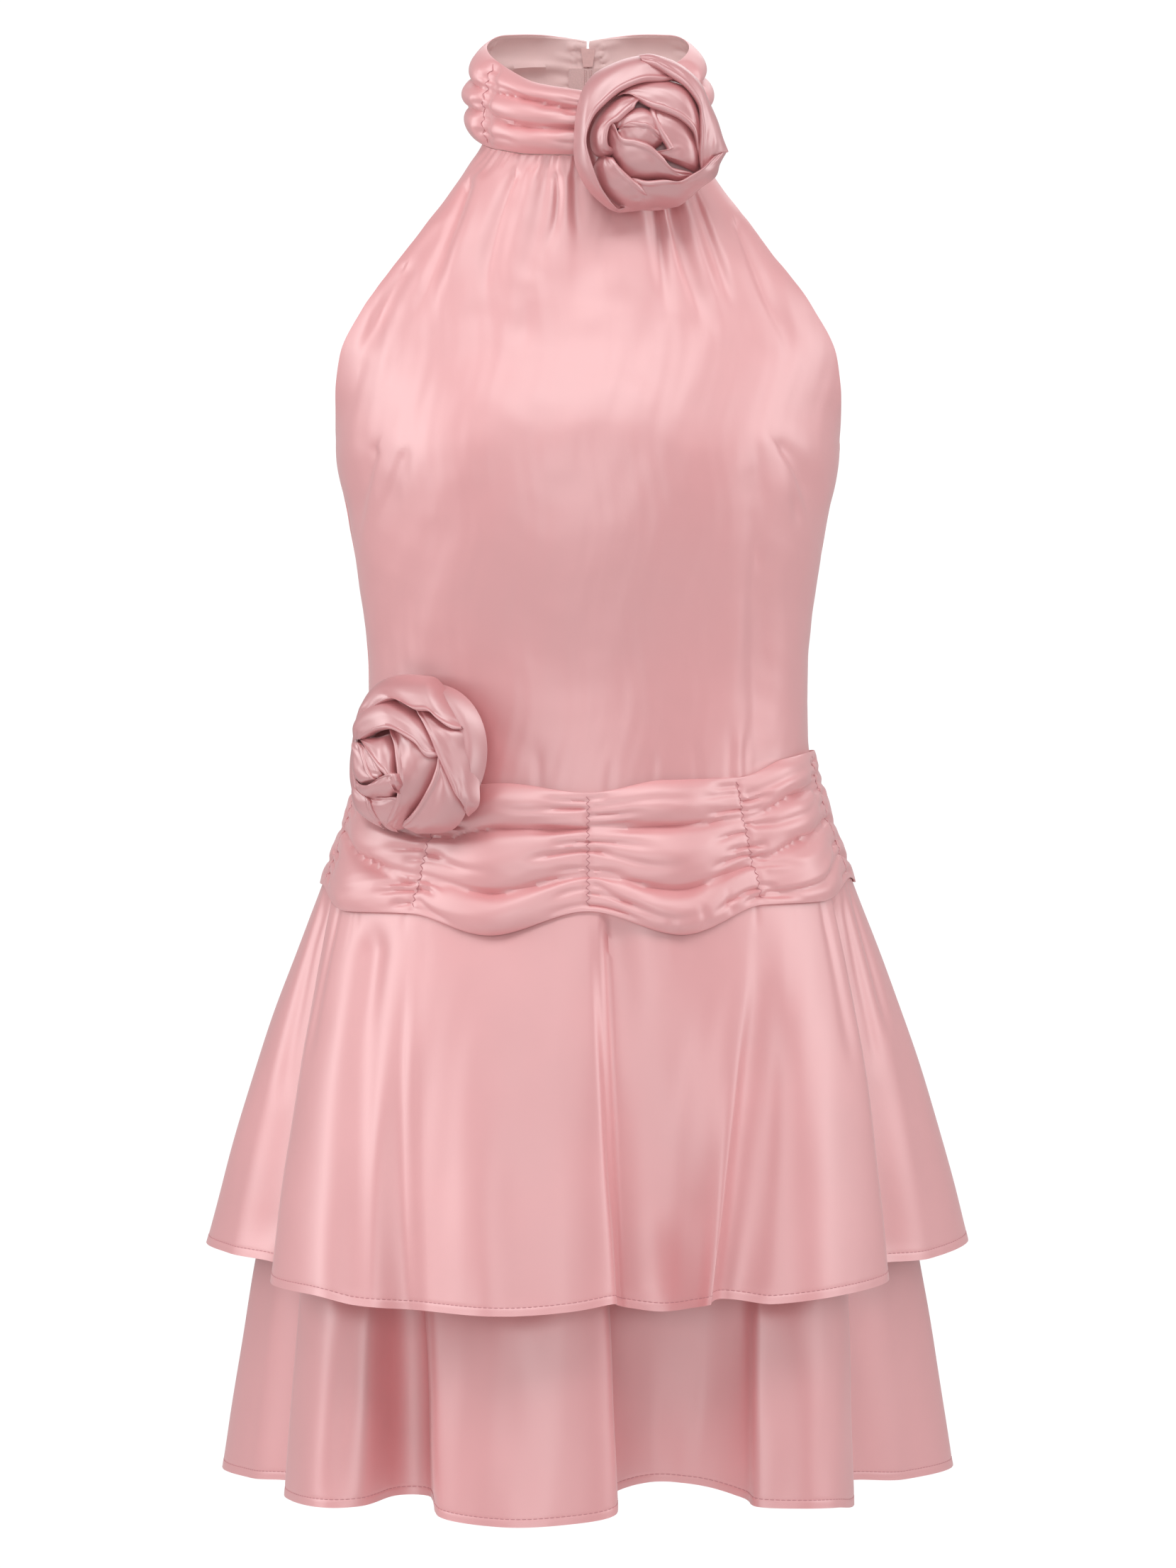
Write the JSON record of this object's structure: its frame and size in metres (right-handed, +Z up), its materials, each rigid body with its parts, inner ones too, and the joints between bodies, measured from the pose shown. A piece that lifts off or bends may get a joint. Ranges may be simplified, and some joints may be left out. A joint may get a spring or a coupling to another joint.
{
  "type": "evening dress",
  "caption": "Sleeveless halter-neck satin mini dress with ruched collar and dropped waistband, two flounce tiers and rosettes, in hollow worn form.",
  "frame": {"origin": "centre of the neck ring at the height of the collar's base seam at the sides, where the wearer's neck holds the dress up", "axes": "+Z up the wearer's neck; the dress's front faces -Y and the wearer's left side is +X"},
  "size_m": [0.4609, 0.415, 0.8651],
  "materials": {
    "satin": "pink satin, smooth and lustrous, with a grey-pink wrong side",
    "rose_satin": "the same pink satin, folded double and rolled",
    "zip_tape": "matte woven pink tape",
    "zip_metal": "pink enamel over metal"
  },
  "bodies": {
    "dress": {"front_panel": "satin", "back_panel_left": "satin", "back_panel_right": "satin", "collar": "satin", "waistband": "satin", "skirt_upper_front": "satin", "skirt_upper_back": "satin", "skirt_lower_front": "satin", "skirt_lower_back": "satin", "neck_rose": "rose_satin", "hip_rose": "rose_satin", "zip_tape": "zip_tape", "zip_slider": "zip_metal"},
    "pull": {"zip_pull": "zip_metal"}
  },
  "joints": [
    {"name": "pull_hinge", "type": "hinge", "parent": "dress", "child": "pull", "pos_m": [0, 0.06143, 0.053], "axis": [1, 0, 0], "range_deg": [0, 160]}
  ]
}
